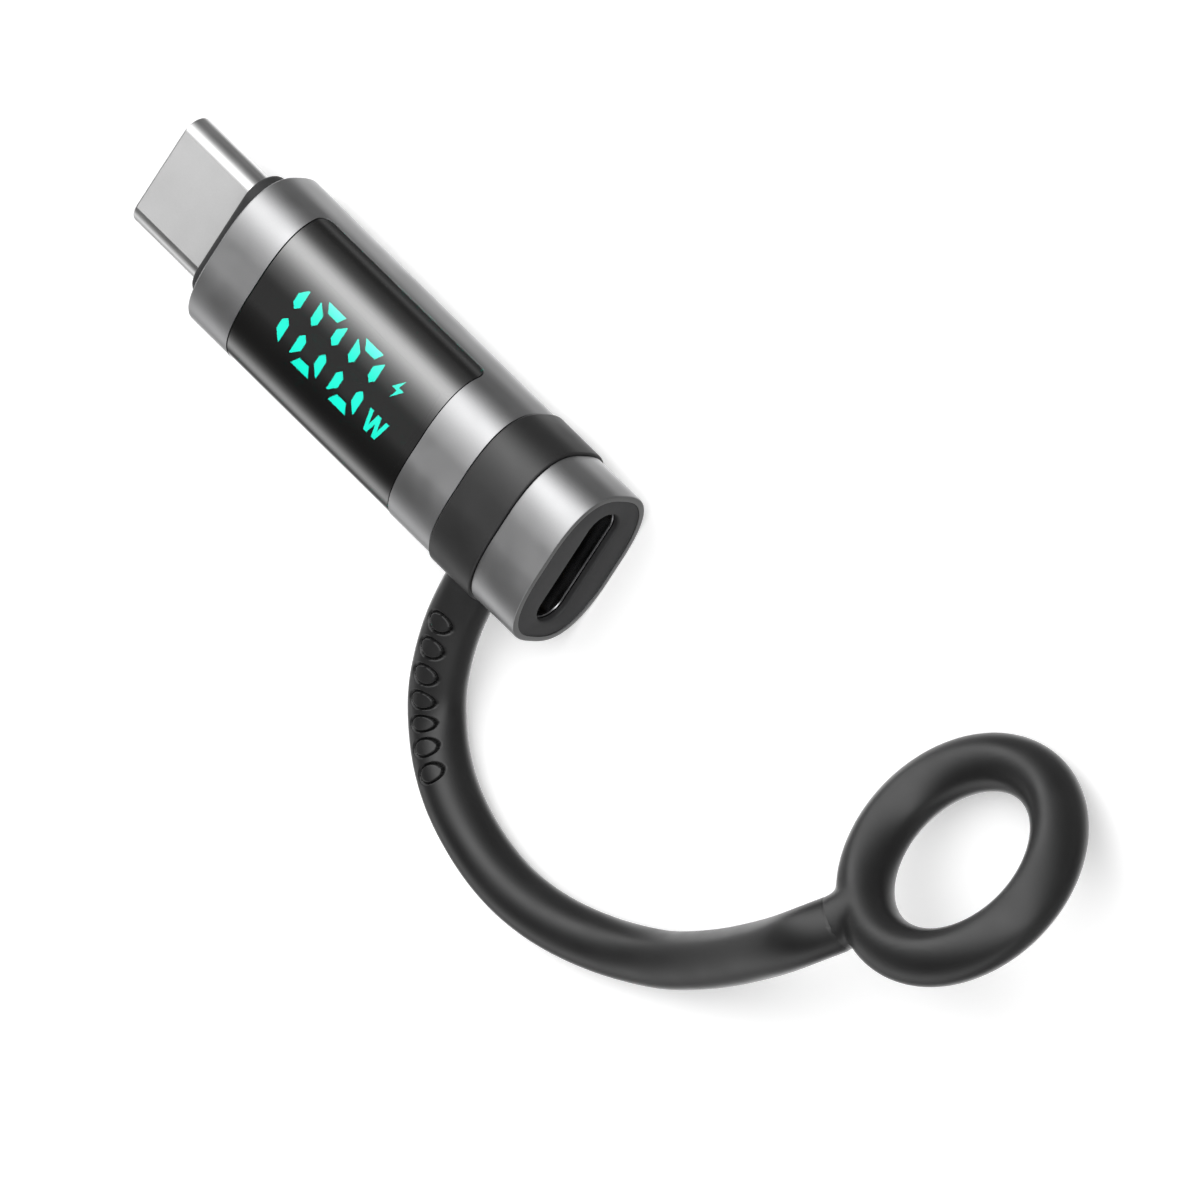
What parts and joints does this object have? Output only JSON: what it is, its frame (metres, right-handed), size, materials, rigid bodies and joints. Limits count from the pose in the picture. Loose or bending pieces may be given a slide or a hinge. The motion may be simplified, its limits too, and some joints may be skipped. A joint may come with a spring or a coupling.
{
  "type": "usb power meter",
  "caption": "In-line power meter with a plug and a socket on a pillow-section metal case, a wrap-round lit display window and a soft lanyard strap with a ring.",
  "frame": {"origin": "middle of the metal case's length and width, on the flat of its back, which lies on Z = 0", "axes": "+X along the case from the plug to the socket, +Z out of the display, +Y across the case, towards the tops of the lit figures"},
  "size_m": [0.0849, 0.0344, 0.0103],
  "materials": {
    "gunmetal": "satin, fine-blasted, dark grey",
    "steel": "satin nickel with polished edges",
    "smoked_glass": "gloss smoked black",
    "dark_plastic": "matte dark grey",
    "black_plastic": "matte black",
    "white_plastic": "matte white",
    "light_guide": "clear resin, lit turquoise",
    "circuit_board": "green solder mask",
    "gold_plate": "gold-plated contact alloy",
    "chip_epoxy": "moulded epoxy",
    "ceramic": "fired ceramic",
    "silicone": "matte soft silicone, charcoal"
  },
  "bodies": {
    "adapter": {"metal_shell": "gunmetal", "end_cap": "gunmetal", "display_window": "smoked_glass", "carrier_upper": "black_plastic", "carrier_lower": "black_plastic", "face_plate": "dark_plastic", "plug_collar": "dark_plastic", "light_guide_hundreds": "light_guide", "light_guide_tens": "light_guide", "light_guide_ones": "light_guide", "light_guide_unit": "light_guide", "light_guide_bolt": "light_guide", "display_mask": "black_plastic", "display_housing": "white_plastic", "led_board": "circuit_board", "pin_strip_front": "gold_plate", "pin_strip_rear": "gold_plate", "main_board": "circuit_board", "meter_chip": "chip_epoxy", "port_chip": "chip_epoxy", "shunt_resistor": "chip_epoxy", "voltage_regulator": "chip_epoxy", "capacitor_input": "ceramic", "capacitor_output": "ceramic", "plug_shell": "steel", "plug_insulator": "black_plastic", "plug_contacts_upper": "gold_plate", "plug_contacts_lower": "gold_plate", "plug_ground_spring_upper": "steel", "plug_ground_spring_lower": "steel", "plug_latch_left": "steel", "plug_latch_right": "steel", "socket_shell": "steel", "socket_tongue": "black_plastic", "socket_mid_plate": "steel", "socket_contacts_upper": "gold_plate", "socket_contacts_lower": "gold_plate", "lanyard_band": "silicone"},
    "strap": {"lanyard_strap": "silicone"},
    "ring": {"lanyard_ring": "silicone"}
  },
  "joints": [
    {"name": "strap_swing", "type": "hinge", "parent": "adapter", "child": "strap", "pos_m": [0.0152, -0.0115, 0.003], "axis": [0, 0, 1], "range_deg": [-45, 45], "stiffness_Nm_per_rad": 0.002, "deforming": ["lanyard_strap"]},
    {"name": "ring_twist", "type": "hinge", "parent": "strap", "child": "ring", "pos_m": [0.0559, 0.0047, 0.0052], "axis": [0.4094, 0.8814, -0.2356], "range_deg": [0, 50], "stiffness_Nm_per_rad": 0.0008}
  ]
}
